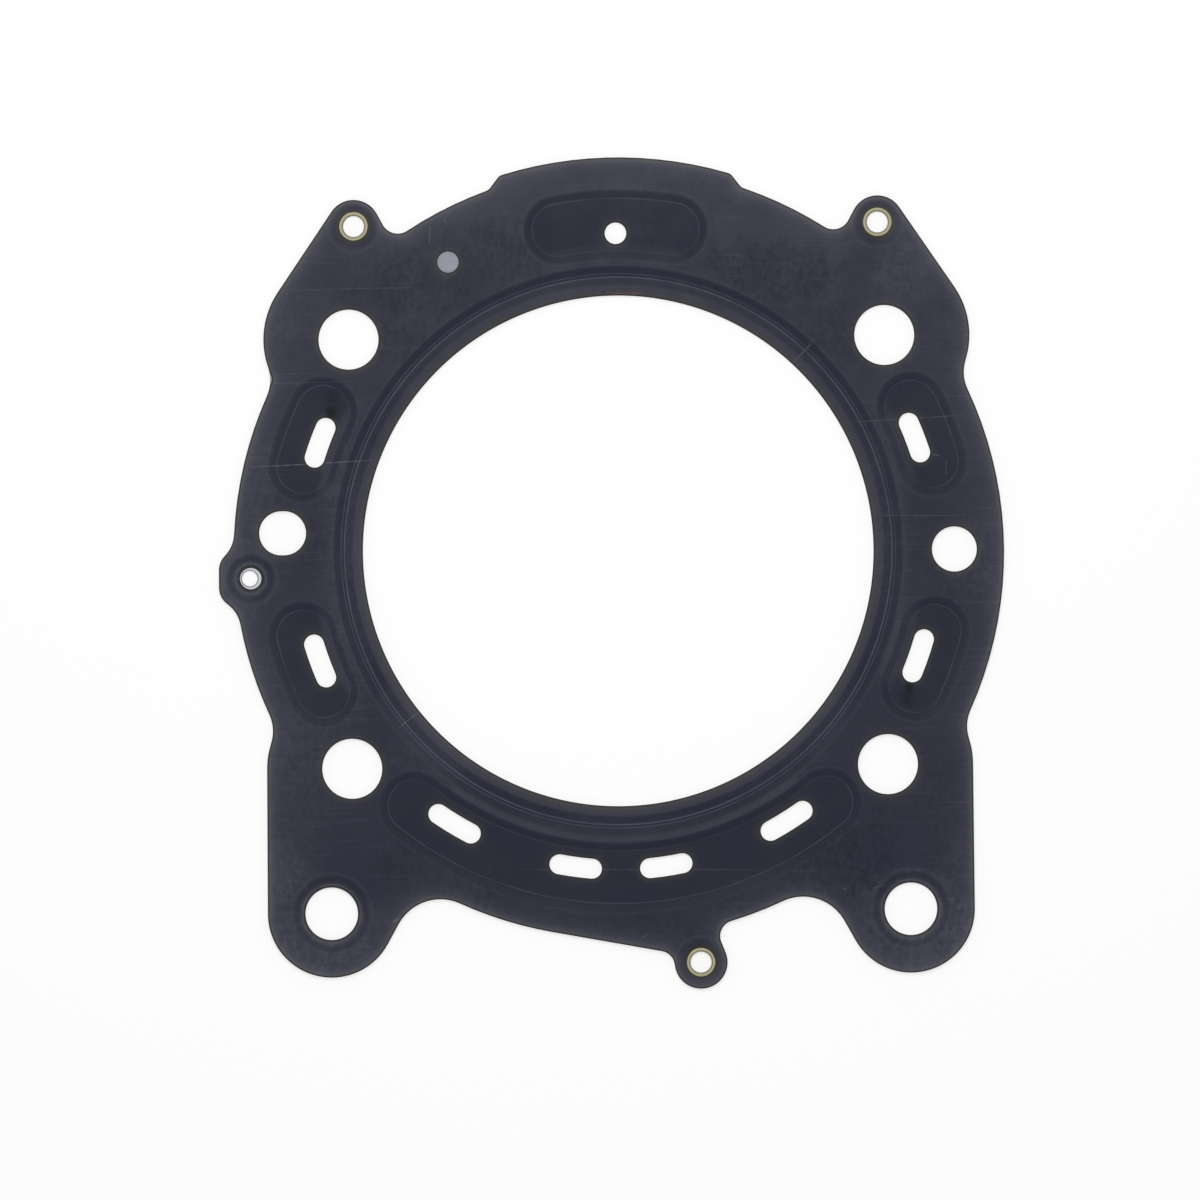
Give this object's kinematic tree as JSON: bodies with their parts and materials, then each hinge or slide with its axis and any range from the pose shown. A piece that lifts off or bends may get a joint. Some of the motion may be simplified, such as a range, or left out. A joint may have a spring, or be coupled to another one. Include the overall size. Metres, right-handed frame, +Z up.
{
  "type": "cylinder head gasket",
  "caption": "Flat multi-layer steel head gasket with embossed sealing beads round one large bore, bolt, dowel, coolant and oil holes, and small brass eyelets that hold the layers.",
  "frame": {"origin": "on the axis of the cylinder bore, in the plane of the underside on which the gasket rests", "axes": "+Z up along the bore axis and out of the top sheet, +Y away from the two lower bolts towards the crown, +X to the right when the top sheet is seen from above"},
  "size_m": [0.157, 0.1663, 0.0012],
  "materials": {
    "coated_steel": "satin",
    "bare_steel": "brushed",
    "eyelet_brass": "satin"
  },
  "bodies": {
    "root": {"top_sheet": "coated_steel", "core_sheet": "bare_steel", "bottom_sheet": "coated_steel", "eyelet_top_left": "eyelet_brass", "eyelet_top_right": "eyelet_brass", "eyelet_bottom": "eyelet_brass"}
  },
  "joints": []
}
